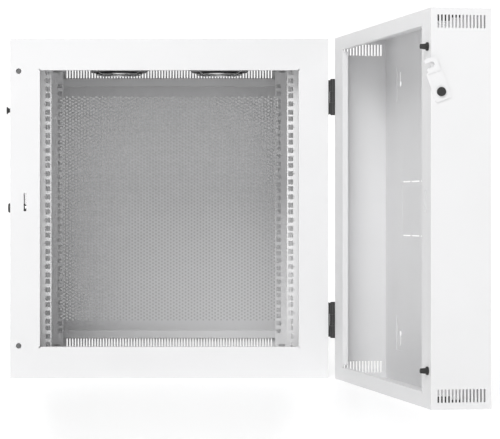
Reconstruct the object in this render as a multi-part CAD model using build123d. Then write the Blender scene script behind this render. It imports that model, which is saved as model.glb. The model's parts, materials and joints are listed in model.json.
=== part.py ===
from build123d import *
import os

# Twelve-unit wall cabinet for 19 inch equipment, made of folded sheet steel.
# A shallow wall section is screwed to the wall. The deep main section hangs on it by two
# outside hinges and swings away, so that the rear of the equipment can be reached.
# The frame: +Z up, +Y towards the perforated front door, the origin at the centre of the
# main section's footprint, on its underside. Sizes are in millimetres.
# The wall section is drawn shut against the main section and then swung open.

# Driving dimensions of the two sections
WIDTH = 600.0
HEIGHT = 640.0
MAIN_DEPTH = 526.0
WALL_DEPTH = 100.0
SECTION_GAP = 3.0
SWING_OPEN = 100.0
SHEET = 1.5

# Openings, returns and lips of the three frames
FLANGE = 56.0
FLANGE_TALL = 59.0
WALL_FLANGE_FREE = 49.0
WALL_FLANGE_TALL = 25.0
RETURN_DEPTH = 12.0
WALL_RETURN_DEPTH = 10.0
CORNER_RELIEF = 6.0
RELIEF_WIDTH = 2.0
RETURN_SHORT = 4.0
FRONT_FLANGE = 40.0
FRONT_LIP = 16.0

# Locating pegs between the sections
PEG_INSET = 16.0
PEG_EDGE = 61.0
PEG_HOLE_R = 5.25
PEG_PLAY = 0.15
PEG_COLLAR_R = 6.75
PEG_SQUEEZE = 0.3
PEG_REACH = 12.6
PEG_ROOT_R = 4.9
PEG_TIP_R = 3.9
PEG_BACK = 2.0

# Ventilation slots
FRONT_SLOT_WIDTH = 2.4
FRONT_SLOT_PITCH = 6.0
FRONT_SLOT_SIDE = 80.0
FRONT_SLOT_EDGE = 19.0
FRONT_SLOT = 22.0
SIDE_SLOTS = 14
SIDE_SLOT_WIDTH = 3.0
SIDE_SLOT_PITCH = 5.9
SIDE_SLOT_EDGE = 11.0
SIDE_SLOT = 21.0

# Outside hinges of the wall section
HINGE_HEIGHT = 64.0
HINGE_EDGE = 110.0
LEAF = 2.5
LEAF_REACH = 30.0
LEAF_SETBACK = 3.5
LEAF_SCREW_OUT = 20.1
LEAF_SCREW_SPREAD = 16.0
KNUCKLE_R = 6.2
KNUCKLE_GAP = 0.3
HINGE_PIN_R = 3.0
PIN_PLAY = 0.05
PIN_HEAD_R = 5.0
PIN_HEAD = 2.0
LEAF_SCREW_R = 5.0
LEAF_SCREW_HEAD = 2.2
LEAF_SCREW_SHANK_R = 2.5
LEAF_SCREW_TAIL = 6.0
SCREW_PLAY = 0.15

# Wall fixing: keyholes in raised pads, and a knock-out for the cables
KEYHOLE_SIDE = 93.0
KEYHOLE_EDGE = 90.0
KEYHOLE_ENTRY_R = 6.0
KEYHOLE_SLOT = 6.0
KEYHOLE_RUN = 20.0
PAD_WIDTH = 42.0
PAD_HALF = 32.0
PAD_DEPTH = 1.5
KNOCKOUT_SIDE = 110.0
KNOCKOUT_HALF_Z = 49.0
KNOCKOUT_SLIT = 2.0
KNOCKOUT_TIE = 6.0
KNOCKOUT_TIES = 7

# Latch arm on the wall section and its stud on the main section
LATCH_EDGE = 134.0
LATCH_PIVOT_INSET = 16.4
LATCH_REACH = 46.0
LATCH_LIFT = 70.0
ARM = 2.0
ARM_STANDOFF = 0.3
ARM_JOGGLE = 1.5
ARM_HALF = 14.0
ARM_TAIL = 14.0
ARM_PLATE_END = 35.0
ARM_TAB_HALF = 11.0
ARM_TIP = 57.0
ARM_CORNER = 3.5
LATCH_PLAY = 0.3
STUD_NECK_R = 4.0
STUD_HEAD_R = 7.8
STUD_HEAD = 4.2
STUD_SHANK_R = 3.0
STUD_NUT_R = 6.0
STUD_NUT = 4.0
PIVOT_NECK_R = 4.0
PIVOT_HEAD_R = 7.3
PIVOT_HEAD = 2.6

# Key locks with a hooked cam: one on the main section's side, one on the door
LOCK_Z = 1.0
LOCK_SETBACK = 20.0
LOCK_HEAD_R = 9.0
LOCK_HEAD = 5.0
LOCK_HEAD_EDGE = 1.6
LOCK_BODY_R = 8.0
LOCK_PLUG_R = 5.0
LOCK_NUT_R = 11.0
LOCK_NUT = 3.0
CAM_PLANE = 28.0
CAM = 2.5
CAM_GAP = 0.3
CAM_REACH = 28.0
CAM_HALF = 4.5
CAM_HUB_R = 8.0
CAM_HOOK = 5.5
CAM_HOOK_LENGTH = 3.1
KEYWAY_WIDTH = 1.4
KEYWAY_LENGTH = 6.5
KEYWAY_DEPTH = 4.0
CAM_SLOT = 5.0
CAM_SLOT_BELOW = 6.0
CAM_SLOT_ABOVE = 28.2
DOOR_LOCK_INSET = 50.0

# Rack rails: at this width their square holes stand 465.1 apart, as 19 inch equipment asks
UNIT = 44.45
UNIT_HOLES = (6.35, 22.225, 38.1)
UNIT_TICK = 3.2
UNIT_TICK_HEIGHT = 1.2
RAIL_HOLE = 9.5
RAIL_SIDE = 38.0
RAIL_FACE = 36.5
RAIL_HOLE_INSET = 7.05
RAIL = 2.0
RAIL_WEB = 40.0
RAIL_EDGE = 11.0
RAIL_REAR_SETBACK = 57.0
RAIL_FRONT_SETBACK = 36.0
RAIL_END_SLOT_EDGE = 18.0
RAIL_END_ROOM = 40.0
RAIL_END_SLOT = 14.0
RAIL_END_SLOT_WIDTH = 5.0
SUPPORT_HEIGHT = 27.0
SUPPORT_END = 18.0
SUPPORT_SLOT_HALF = 40.0
BOLT_R = 3.0
BOLT_HOLE_R = 3.3
BOLT_HEAD_R = 5.5
BOLT_HEAD = 4.0
BOLT_NUT = 5.0
BOLT_DROP = 13.0

# Roof fans
FAN_X = 101.0
FAN_SIZE = 120.0
FAN_DEPTH = 38.0
FAN_DUCT_WALL = 2.0
FAN_CORNER_R = 6.0
FAN_HOLE_EDGE = 7.5
FAN_SCREW_R = 2.0
FAN_STATOR_R = 22.0
FAN_STATOR = 9.0
FAN_STRUT = 5.0
FAN_ROTOR_R = 21.0
FAN_TIP_GAP = 1.5
FAN_BLADES = 7
FAN_BLADE = 2.0
FAN_BLADE_CHORD = 30.0
FAN_BLADE_TILT = 38.0
FAN_ROTOR_DROP = 2.0
FAN_ROTOR_GAP = 0.3
FAN_SHAFT_R = 2.5
GUARD_WIRE = 2.0
GUARD_RIM = 12.0
GUARD_RING_PITCH = 14.0
GUARD_DROP = 13.0
GUARD_EYE_R = 4.5
VENT_PITCH = 9.6
VENT_WIDTH = 4.6
VENT_MARGIN = 2.0
VENT_SHORTEST = 25.0
SCREW_HEAD_R = 4.0
SCREW_HEAD = 2.2

# Cable entries in the roof and the floor, shut by a screwed plate
ENTRY_X = 130.0
ENTRY_Y = 24.0
ENTRY_DEPTH = 80.0
ENTRY_PLATE_RIM = 9.0
ENTRY_CORNER = 8.0

# Front door
DOOR_GAP = 2.5
DOOR_DEPTH = 21.5
DOOR_SIDE = 2.0
DOOR_EDGE = 48.0
DOOR_LIP = 12.0
FIELD_SIDE = 61.65
FIELD_EDGE = 28.6
PERFORATED = 0.9
LINER_SIDE = 20.0
LINER_EDGE = 5.0
DOOR_PIVOT_INSET = 5.5
DOOR_PIN_R = 2.5
DOOR_PIN_REACH = 8.0
DOOR_CLEARANCE = 0.5
BRACKET = 3.0
BRACKET_WIDTH = 15.0
BRACKET_FOOT = 16.0
BRACKET_REACH = 16.0
BRACKET_FOOT_THICK = 1.8

# Black plates that stiffen the free corners of the wall section
CORNER_PLATE = 1.2
CORNER_PLATE_START = 9.0
CORNER_PLATE_RUN = 26.0
CORNER_PLATE_TAIL = 18.0
CORNER_PLATE_TALL = 19.4
CORNER_PLATE_SHORT = 14.0

# Places worked out from the sizes above
HALF_X = WIDTH / 2
MID_Z = HEIGHT / 2
REAR = -MAIN_DEPTH / 2
FRONT = MAIN_DEPTH / 2
INNER_X = HALF_X - SHEET
OPEN_X = HALF_X - FLANGE
OPEN_Z = MID_Z - FLANGE_TALL
FRONT_OPEN_X = HALF_X - FRONT_FLANGE
PEG_Z = MID_Z - PEG_EDGE
HINGE_Z = MID_Z - HINGE_EDGE
KEYHOLE_X = HALF_X - KEYHOLE_SIDE
KEYHOLE_Z = MID_Z - KEYHOLE_EDGE
KNOCKOUT_HALF_X = HALF_X - KNOCKOUT_SIDE
LATCH_Z = MID_Z - LATCH_EDGE
RAIL_OUTER_X = HALF_X - RAIL_SIDE
RAIL_INNER_X = RAIL_OUTER_X - RAIL_FACE
RAIL_HOLE_X = RAIL_INNER_X + RAIL_HOLE_INSET
RAIL_HALF = MID_Z - RAIL_EDGE
RAIL_UNITS = int(2 * (RAIL_HALF - RAIL_END_ROOM) / UNIT)
FRONT_SLOTS = int((WIDTH - 2 * FRONT_SLOT_SIDE) / FRONT_SLOT_PITCH) + 1
RAIL_FRONT_Y = MAIN_DEPTH - RAIL_FRONT_SETBACK
WALL_FACE = REAR - SECTION_GAP
WALL_BACK = WALL_FACE - WALL_DEPTH
PIVOT_X = HALF_X + LEAF + KNUCKLE_R
PIVOT_Y = REAR - SECTION_GAP / 2
LATCH_PIVOT_Y = WALL_FACE - LATCH_PIVOT_INSET
STUD_Y = LATCH_PIVOT_Y + LATCH_REACH
LOCK_Y = REAR + LOCK_SETBACK
DOOR_HALF_X = HALF_X - DOOR_SIDE
DOOR_HALF_Z = MID_Z - DOOR_EDGE
DOOR_LOCK_X = DOOR_LOCK_INSET - DOOR_HALF_X
FIELD_HALF_X = DOOR_HALF_X - FIELD_SIDE
FIELD_HALF_Z = DOOR_HALF_Z - FIELD_EDGE
DOOR_BACK = FRONT + DOOR_GAP
DOOR_FRONT = DOOR_BACK + DOOR_DEPTH
DOOR_PIVOT_X = DOOR_HALF_X - DOOR_PIVOT_INSET
DOOR_PIVOT_Y = DOOR_BACK + DOOR_PIVOT_INSET
FAN_FLOOR = HEIGHT - SHEET - FAN_DEPTH
FAN_DUCT_R = FAN_SIZE / 2 - FAN_DUCT_WALL
FAN_HOLE = FAN_SIZE / 2 - FAN_HOLE_EDGE
FAN_BLADE_R = FAN_DUCT_R - FAN_TIP_GAP
GUARD_RINGS = [FAN_DUCT_R - GUARD_RIM - step * GUARD_RING_PITCH for step in range(3)]
VENT_R = FAN_DUCT_R - VENT_MARGIN
VENT_SIDE_SLOTS = int((VENT_R ** 2 - VENT_SHORTEST ** 2) ** 0.5 / VENT_PITCH)
SWING_AXIS = Axis((PIVOT_X, PIVOT_Y, 0), (0, 0, 1))


def block(x0, x1, y0, y1, z0, z1):
    centre = Pos((x0 + x1) / 2, (y0 + y1) / 2, (z0 + z1) / 2)
    return centre * Box(abs(x1 - x0), abs(y1 - y0), abs(z1 - z0))


def rect(u0, u1, v0, v1):
    return Pos((u0 + u1) / 2, (v0 + v1) / 2) * Rectangle(abs(u1 - u0), abs(v1 - v0))


def sheet_xz(sketch, y_low, thickness):
    plane = Plane(origin=(0, y_low + thickness, 0), x_dir=(1, 0, 0), z_dir=(0, -1, 0))
    return extrude(plane * sketch, amount=thickness)


def sheet_yz(sketch, x_low, thickness):
    plane = Plane(origin=(x_low, 0, 0), x_dir=(0, 1, 0), z_dir=(1, 0, 0))
    return extrude(plane * sketch, amount=thickness)


def sheet_xy(sketch, z_low, thickness):
    return extrude(Pos(0, 0, z_low) * sketch, amount=thickness)


def rod(start, end, radius):
    # A round bar between two points, standing on a plane across its axis
    axis = Vector(*end) - Vector(*start)
    return extrude(Plane(origin=start, z_dir=axis) * Circle(radius), amount=axis.length)


def slot_row(count, pitch, width, middle, low, high):
    offsets = [middle + (index - (count - 1) / 2) * pitch for index in range(count)]
    return [rect(u - width / 2, u + width / 2, low, high) for u in offsets]


def both_ends(edge, length):
    # The same stretch near the top and near the bottom
    return (HEIGHT - edge - length, HEIGHT - edge), (edge, edge + length)


def lock_slot(u, v):
    return rect(u - CAM_SLOT / 2, u + CAM_SLOT / 2, v - CAM_SLOT_BELOW, v + CAM_SLOT_ABOVE)


# Frames

def opening_returns(face, inward, x_low, x_high, half_z, reach):
    # Edges of an opening folded into the box, short of the corners
    depth = face + inward * reach
    z_run = half_z - RETURN_SHORT
    start = face + inward * SHEET
    pieces = []
    for x, side in ((x_low, -1), (x_high, 1)):
        pieces.append(block(x, x + side * SHEET, start, depth, MID_Z - z_run, MID_Z + z_run))
        pieces.append(block(x_low + RETURN_SHORT, x_high - RETURN_SHORT, start, depth,
                            MID_Z + side * half_z, MID_Z + side * (half_z + SHEET)))
    return pieces


def meeting_frame(face, inward, x_low, x_high, half_z, reach):
    # A frame that one section turns to the other, with the holes that both share
    outline = rect(-HALF_X, HALF_X, 0, HEIGHT)
    holes = [rect(x_low, x_high, MID_Z - half_z, MID_Z + half_z)]
    for z_side in (-1, 1):
        for x, x_side in ((x_low, -1), (x_high, 1)):
            turn = Rot(0, 0, 45 * x_side * z_side)
            holes.append(Pos(x, MID_Z + z_side * half_z) * turn * Rectangle(CORNER_RELIEF, RELIEF_WIDTH))
        holes.append(Pos(-HALF_X + PEG_INSET, MID_Z + z_side * PEG_Z) * Circle(PEG_HOLE_R))
    holes.append(lock_slot(-HALF_X + CAM_PLANE, MID_Z + LOCK_Z))
    plate = sheet_xz(outline - holes, min(face, face + inward * SHEET), SHEET)
    return plate + opening_returns(face, inward, x_low, x_high, half_z, reach)


def front_frame():
    outline = rect(-HALF_X, HALF_X, 0, HEIGHT)
    holes = [rect(-FRONT_OPEN_X, FRONT_OPEN_X, MID_Z - OPEN_Z, MID_Z + OPEN_Z)]
    for low, high in both_ends(FRONT_SLOT_EDGE, FRONT_SLOT):
        holes += slot_row(FRONT_SLOTS, FRONT_SLOT_PITCH, FRONT_SLOT_WIDTH, 0, low, high)
    frame = sheet_xz(outline - holes, FRONT - SHEET, SHEET)
    frame += opening_returns(FRONT, -1, -FRONT_OPEN_X, FRONT_OPEN_X, OPEN_Z, RETURN_DEPTH)
    # The returns turn outwards once more into a gutter lip
    lip_front = FRONT - RETURN_DEPTH
    lip_back = lip_front - SHEET
    x_run = FRONT_OPEN_X - RETURN_SHORT
    z_run = OPEN_Z - RETURN_SHORT
    for side in (-1, 1):
        frame += block(-x_run, x_run, lip_back, lip_front,
                       MID_Z + side * OPEN_Z, MID_Z + side * (OPEN_Z + FRONT_LIP))
        frame += block(side * FRONT_OPEN_X, side * (FRONT_OPEN_X + FRONT_LIP), lip_back, lip_front,
                       MID_Z - z_run, MID_Z + z_run)
    cam_y = DOOR_FRONT - CAM_PLANE
    cam_z = MID_Z + LOCK_Z
    frame -= block(-FRONT_OPEN_X - 2 * SHEET, -FRONT_OPEN_X + SHEET,
                   cam_y - CAM_SLOT / 2, cam_y + CAM_SLOT / 2,
                   cam_z - CAM_SLOT_BELOW, cam_z + CAM_SLOT_ABOVE)
    return frame


# Locks, pegs and the latch

def lock_parts(origin, inward):
    # A key lock along the inward axis, its cam standing up and its hook on the leading side
    place = Plane(origin=origin, x_dir=(0, 0, 1), z_dir=inward)
    body_end = CAM_PLANE - CAM / 2 - CAM_GAP
    head = extrude(Circle(LOCK_HEAD_R), amount=-LOCK_HEAD)
    head = chamfer(head.faces().sort_by(Axis.Z)[0].edges(), LOCK_HEAD_EDGE)
    body = head + extrude(Circle(LOCK_BODY_R), amount=body_end)
    bore = Pos(0, 0, -LOCK_HEAD) * extrude(Circle(LOCK_PLUG_R + PIN_PLAY), amount=LOCK_HEAD + body_end)
    body -= bore
    nut = extrude(RegularPolygon(LOCK_NUT_R, 6) - Circle(LOCK_BODY_R), amount=LOCK_NUT)
    nut = Pos(0, 0, SHEET) * nut
    plug = Pos(0, 0, -LOCK_HEAD) * extrude(Circle(LOCK_PLUG_R), amount=LOCK_HEAD + CAM_PLANE)
    keyway = Rectangle(KEYWAY_LENGTH, KEYWAY_WIDTH)
    plug -= Pos(0, 0, -LOCK_HEAD) * extrude(keyway, amount=KEYWAY_DEPTH)
    cam = Circle(CAM_HUB_R) + rect(0, CAM_REACH, -CAM_HALF, CAM_HALF)
    cam += rect(CAM_REACH - CAM_HOOK_LENGTH, CAM_REACH, 0, CAM_HALF + CAM_HOOK)
    plug += Pos(0, 0, CAM_PLANE - CAM / 2) * extrude(cam, amount=CAM)
    return place * body, place * nut, place * plug


def locating_peg(z):
    # Rubber peg: a flange behind the sheet, a collar before it and a tapered nose
    sheet_r = PEG_HOLE_R - PEG_PLAY
    collar = SECTION_GAP - PEG_SQUEEZE
    outline = [
        (0, -SHEET - PEG_BACK),
        (PEG_COLLAR_R, -SHEET - PEG_BACK),
        (PEG_COLLAR_R, -SHEET),
        (sheet_r, -SHEET),
        (sheet_r, 0),
        (PEG_COLLAR_R, 0),
        (PEG_COLLAR_R, collar),
        (PEG_ROOT_R, collar),
        (PEG_TIP_R, PEG_REACH),
        (0, PEG_REACH),
    ]
    profile = make_face(Polyline(*outline, close=True))
    peg = revolve(Plane.XZ * profile, Axis.Z)
    place = Plane(origin=(-HALF_X + PEG_INSET, WALL_FACE, z), x_dir=(1, 0, 0), z_dir=(0, 1, 0))
    return place * peg


def latch_arm():
    # Drawn level, as it holds the sections shut, then lifted to where it is parked
    plate_x = -HALF_X - ARM_STANDOFF - ARM
    tab_x = plate_x - ARM_JOGGLE
    plate = rect(-ARM_TAIL, ARM_PLATE_END, -ARM_HALF, ARM_HALF)
    plate = fillet(plate.vertices(), ARM_CORNER) - Circle(PIVOT_NECK_R + PIN_PLAY)
    tab = rect(ARM_PLATE_END - ARM, ARM_TIP, -ARM_TAB_HALF, ARM_TAB_HALF)
    tab = fillet(tab.vertices().group_by(Axis.X)[-1], ARM_CORNER)
    notch_r = STUD_NECK_R + LATCH_PLAY
    notch = Pos(LATCH_REACH, 0) * Circle(notch_r)
    notch += rect(LATCH_REACH - notch_r, LATCH_REACH + notch_r, -ARM_TAB_HALF, 0)
    place = Pos(0, LATCH_PIVOT_Y, MID_Z + LATCH_Z)
    arm = place * (sheet_yz(plate, plate_x, ARM) + sheet_yz(tab - notch, tab_x, ARM))
    pivot = Axis((0, LATCH_PIVOT_Y, MID_Z + LATCH_Z), (1, 0, 0))
    return arm.rotate(pivot, LATCH_LIFT)


def stud_along_x(y, neck_r, neck, head, shank_r, inner_nut_r, inner_nut):
    # Shouldered stud through the left side sheet, with a nut inside
    z = MID_Z + LATCH_Z
    face = -HALF_X
    inner = -INNER_X
    stud = rod((face, y, z), (face - neck, y, z), neck_r)
    stud += head
    stud += rod((face, y, z), (inner + inner_nut, y, z), shank_r)
    stud += rod((inner, y, z), (inner + inner_nut, y, z), inner_nut_r)
    return stud


def latch_stud():
    # A dark mushroom stud, wide at its outer end
    neck = ARM_STANDOFF + ARM_JOGGLE + ARM + LATCH_PLAY
    face = -HALF_X - neck
    head = Plane(origin=(face, STUD_Y, MID_Z + LATCH_Z), z_dir=(-1, 0, 0)) * (
        Pos(0, 0, STUD_HEAD / 2) * Cone(STUD_NECK_R, STUD_HEAD_R, STUD_HEAD))
    return stud_along_x(STUD_Y, STUD_NECK_R, neck, head, STUD_SHANK_R, STUD_NUT_R, STUD_NUT)


def latch_pivot_screw():
    neck = ARM_STANDOFF + ARM + PIN_PLAY
    z = MID_Z + LATCH_Z
    face = -HALF_X - neck
    head = rod((face, LATCH_PIVOT_Y, z), (face - PIVOT_HEAD, LATCH_PIVOT_Y, z), PIVOT_HEAD_R)
    return stud_along_x(LATCH_PIVOT_Y, PIVOT_NECK_R, neck, head, STUD_SHANK_R, STUD_NUT_R, STUD_NUT)


# Outside hinges

def knuckle_spans(z):
    # Three knuckles along the pin: the outer two on the main section, the middle one on the wall
    low = z - HINGE_HEIGHT / 2
    third = HINGE_HEIGHT / 3
    outer = [(low, low + third - KNUCKLE_GAP), (low + 2 * third + KNUCKLE_GAP, low + HINGE_HEIGHT)]
    return outer, [(low + third, low + 2 * third)]


def screw_places(side, z):
    y = PIVOT_Y + side * LEAF_SCREW_OUT
    return [(y, z - LEAF_SCREW_SPREAD), (y, z + LEAF_SCREW_SPREAD)]


def hinge_leaf(side, z, spans):
    # side is +1 for the main section's leaf and -1 for the wall section's
    low = z - HINGE_HEIGHT / 2
    near = PIVOT_Y + side * LEAF_SETBACK
    far = PIVOT_Y + side * (LEAF_SETBACK + LEAF_REACH)
    leaf = block(HALF_X, HALF_X + LEAF, near, far, low, low + HINGE_HEIGHT)
    root = PIVOT_Y + side * (KNUCKLE_R + LEAF)
    for z0, z1 in spans:
        curl = make_face(Polyline((HALF_X, near), (HALF_X, root), (HALF_X + LEAF, root),
                                  (PIVOT_X, PIVOT_Y + side * KNUCKLE_R), (PIVOT_X, near), close=True))
        curl = curl + Pos(PIVOT_X, PIVOT_Y) * Circle(KNUCKLE_R)
        leaf += extrude(Pos(0, 0, z0) * curl, amount=z1 - z0)
        leaf -= extrude(Pos(PIVOT_X, PIVOT_Y, z0) * Circle(HINGE_PIN_R + PIN_PLAY), amount=z1 - z0)
    for y, screw_z in screw_places(side, z):
        leaf -= rod((HALF_X, y, screw_z), (HALF_X + LEAF, y, screw_z), LEAF_SCREW_SHANK_R + SCREW_PLAY)
    return leaf


def hinge_pin(z):
    low = z - HINGE_HEIGHT / 2
    pin = rod((PIVOT_X, PIVOT_Y, low), (PIVOT_X, PIVOT_Y, low + HINGE_HEIGHT), HINGE_PIN_R)
    for z0 in (low - PIN_HEAD, low + HINGE_HEIGHT):
        pin += rod((PIVOT_X, PIVOT_Y, z0), (PIVOT_X, PIVOT_Y, z0 + PIN_HEAD), PIN_HEAD_R)
    return pin


def leaf_screws(side):
    screws = []
    for z_side in (-1, 1):
        for y, z in screw_places(side, MID_Z + z_side * HINGE_Z):
            face = HALF_X + LEAF
            screw = rod((face, y, z), (face + LEAF_SCREW_HEAD, y, z), LEAF_SCREW_R)
            screw += rod((INNER_X - LEAF_SCREW_TAIL, y, z), (face, y, z), LEAF_SCREW_SHANK_R)
            screw += rod((INNER_X - STUD_NUT, y, z), (INNER_X, y, z), LEAF_SCREW_R)
            screws.append(screw)
    return screws


def leaf_screw_holes(side):
    places = []
    for z_side in (-1, 1):
        places += screw_places(side, MID_Z + z_side * HINGE_Z)
    return [Pos(y, z) * Circle(LEAF_SCREW_SHANK_R + SCREW_PLAY) for y, z in places]


# Wall section, drawn shut

def wall_back_panel():
    panel = sheet_xz(rect(-INNER_X, INNER_X, SHEET, HEIGHT - SHEET), WALL_BACK, SHEET)
    for x in (-KEYHOLE_X, KEYHOLE_X):
        for side in (-1, 1):
            entry = MID_Z + side * KEYHOLE_Z
            pad = Pos(x, entry) * Rectangle(PAD_WIDTH, 2 * PAD_HALF)
            panel -= sheet_xz(pad, WALL_BACK, SHEET)
            outer = RectangleRounded(PAD_WIDTH + 2 * SHEET, 2 * (PAD_HALF + SHEET), 2 * SHEET)
            shell = sheet_xz(Pos(x, entry) * outer, WALL_BACK - PAD_DEPTH, SHEET + PAD_DEPTH)
            shell -= sheet_xz(pad, WALL_BACK - PAD_DEPTH + SHEET, SHEET + PAD_DEPTH)
            panel += shell
            stem = rect(x - KEYHOLE_SLOT / 2, x + KEYHOLE_SLOT / 2, entry, entry + side * KEYHOLE_RUN)
            keyhole = stem + Pos(x, entry) * Circle(KEYHOLE_ENTRY_R)
            keyhole += Pos(x, entry + side * KEYHOLE_RUN) * Circle(KEYHOLE_SLOT / 2)
            panel -= sheet_xz(keyhole, WALL_BACK - PAD_DEPTH, SHEET)
    # Slits round the knock-out, with ties that are broken to open it
    run = 2 * KNOCKOUT_HALF_X / KNOCKOUT_TIES
    for index in range(KNOCKOUT_TIES):
        start = -KNOCKOUT_HALF_X + index * run + KNOCKOUT_TIE / 2
        for side in (-1, 1):
            low = MID_Z + side * KNOCKOUT_HALF_Z - KNOCKOUT_SLIT / 2
            slit = rect(start, start + run - KNOCKOUT_TIE, low, low + KNOCKOUT_SLIT)
            panel -= sheet_xz(slit, WALL_BACK, SHEET)
    end_run = KNOCKOUT_HALF_Z - KNOCKOUT_TIE
    for side in (-1, 1):
        low = side * KNOCKOUT_HALF_X - KNOCKOUT_SLIT / 2
        slit = rect(low, low + KNOCKOUT_SLIT, MID_Z - end_run, MID_Z + end_run)
        panel -= sheet_xz(slit, WALL_BACK, SHEET)
    return panel


def side_outline(y0, y1):
    # A side sheet with slots at top and bottom
    slots = []
    for low, high in both_ends(SIDE_SLOT_EDGE, SIDE_SLOT):
        slots += slot_row(SIDE_SLOTS, SIDE_SLOT_PITCH, SIDE_SLOT_WIDTH, (y0 + y1) / 2, low, high)
    return rect(y0, y1, 0, HEIGHT) - slots


def corner_plates():
    # Stepped plates behind the slots of the free side, the taller part towards the frame
    x1 = CORNER_PLATE - INNER_X
    y0 = WALL_FACE - CORNER_PLATE_START
    y1 = y0 - CORNER_PLATE_RUN
    plates = []
    for z_side in (-1, 1):
        end = MID_Z + z_side * (MID_Z - SHEET)
        plate = block(-INNER_X, x1, y0, y1, end, end - z_side * CORNER_PLATE_TALL)
        plate += block(-INNER_X, x1, y1, y1 - CORNER_PLATE_TAIL, end, end - z_side * CORNER_PLATE_SHORT)
        plates.append(plate)
    return plates


def wall_section():
    y0 = WALL_BACK
    y1 = WALL_FACE - SHEET
    hinge_side = side_outline(y0, y1) - leaf_screw_holes(-1)
    pivot_hole = Pos(LATCH_PIVOT_Y, MID_Z + LATCH_Z) * Circle(STUD_SHANK_R)
    free_side = side_outline(y0, y1) - pivot_hole
    cover = rect(-INNER_X, INNER_X, y0, y1)
    opening = (WALL_FLANGE_FREE - HALF_X, OPEN_X, MID_Z - WALL_FLANGE_TALL, WALL_RETURN_DEPTH)
    pieces = {
        "wall_back_panel": wall_back_panel(),
        "wall_top_panel": sheet_xy(cover, HEIGHT - SHEET, SHEET),
        "wall_bottom_panel": sheet_xy(cover, 0, SHEET),
        "wall_hinge_side": sheet_yz(hinge_side, INNER_X, SHEET),
        "wall_free_side": sheet_yz(free_side, -HALF_X, SHEET),
        "wall_frame": meeting_frame(WALL_FACE, -1, *opening),
        "wall_corner_plates": corner_plates(),
        "locating_pegs": [locating_peg(MID_Z - PEG_Z), locating_peg(MID_Z + PEG_Z)],
        "latch_pivot_screw": latch_pivot_screw(),
        "latch_arm": latch_arm(),
        "hinge_leaf_wall_upper": hinge_leaf(-1, MID_Z + HINGE_Z, knuckle_spans(MID_Z + HINGE_Z)[1]),
        "hinge_leaf_wall_lower": hinge_leaf(-1, MID_Z - HINGE_Z, knuckle_spans(MID_Z - HINGE_Z)[1]),
        "hinge_screws_wall": leaf_screws(-1),
    }
    return pieces


# Main section

def fan_screw_points(x):
    return [(x + i * FAN_HOLE, j * FAN_HOLE) for i in (-1, 1) for j in (-1, 1)]


def cable_entry(rim):
    outline = RectangleRounded(2 * (ENTRY_X + rim), ENTRY_DEPTH + 2 * rim, ENTRY_CORNER)
    return Pos(0, REAR + ENTRY_Y + ENTRY_DEPTH / 2) * outline


def roof_panel():
    outline = rect(-INNER_X, INNER_X, REAR + SHEET, FRONT - SHEET) - cable_entry(0)
    holes = []
    for x in (-FAN_X, FAN_X):
        for index in range(-VENT_SIDE_SLOTS, VENT_SIDE_SLOTS + 1):
            u = index * VENT_PITCH
            half = (VENT_R ** 2 - u ** 2) ** 0.5
            holes.append(rect(x + u - VENT_WIDTH / 2, x + u + VENT_WIDTH / 2, -half, half))
        for screw_x, screw_y in fan_screw_points(x):
            holes.append(Pos(screw_x, screw_y) * Circle(FAN_SCREW_R + SCREW_PLAY))
    return sheet_xy(outline - holes, HEIGHT - SHEET, SHEET)


def rail(x_side, face, web_side):
    # An L rail: a drilled face across the cabinet and a web along its depth
    x_in = x_side * RAIL_INNER_X
    x_out = x_side * RAIL_OUTER_X
    outline = rect(x_in, x_out, MID_Z - RAIL_HALF, MID_Z + RAIL_HALF)
    holes = []
    for unit in range(RAIL_UNITS):
        for offset in UNIT_HOLES:
            z = MID_Z + (unit - RAIL_UNITS / 2) * UNIT + offset
            holes.append(Pos(x_side * RAIL_HOLE_X, z) * Rectangle(RAIL_HOLE, RAIL_HOLE))
        # A notch beside the middle hole marks each unit
        tick = RAIL_HOLE_X + RAIL_HOLE / 2
        tick_z = MID_Z + (unit - RAIL_UNITS / 2 + 1 / 2) * UNIT
        holes.append(rect(x_side * tick, x_side * (tick + UNIT_TICK),
                          tick_z - UNIT_TICK_HEIGHT / 2, tick_z + UNIT_TICK_HEIGHT / 2))
    for z_side in (-1, 1):
        end_x = x_side * (RAIL_INNER_X + RAIL_END_SLOT)
        end_z = MID_Z + z_side * (RAIL_HALF - RAIL_END_SLOT_EDGE)
        holes.append(Pos(end_x, end_z) * SlotOverall(RAIL_END_SLOT, RAIL_END_SLOT_WIDTH))
    face_low = REAR + face
    result = sheet_xz(outline - holes, face_low, RAIL)
    web_start = face_low + RAIL if web_side > 0 else face_low
    web_end = face_low + RAIL - RAIL_WEB if web_side < 0 else face_low + RAIL_WEB
    result += block(x_out - x_side * RAIL, x_out, web_start, web_end, MID_Z - RAIL_HALF, MID_Z + RAIL_HALF)
    for z_side in (-1, 1):
        z = MID_Z + z_side * (RAIL_HALF - BOLT_DROP)
        y = rail_bolt_y(face, web_side)
        result -= rod((x_out - x_side * RAIL, y, z), (x_out, y, z), BOLT_HOLE_R)
    return result


def rail_bolt_y(face, web_side):
    return REAR + face + web_side * (RAIL_WEB / 2 + RAIL)


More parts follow.
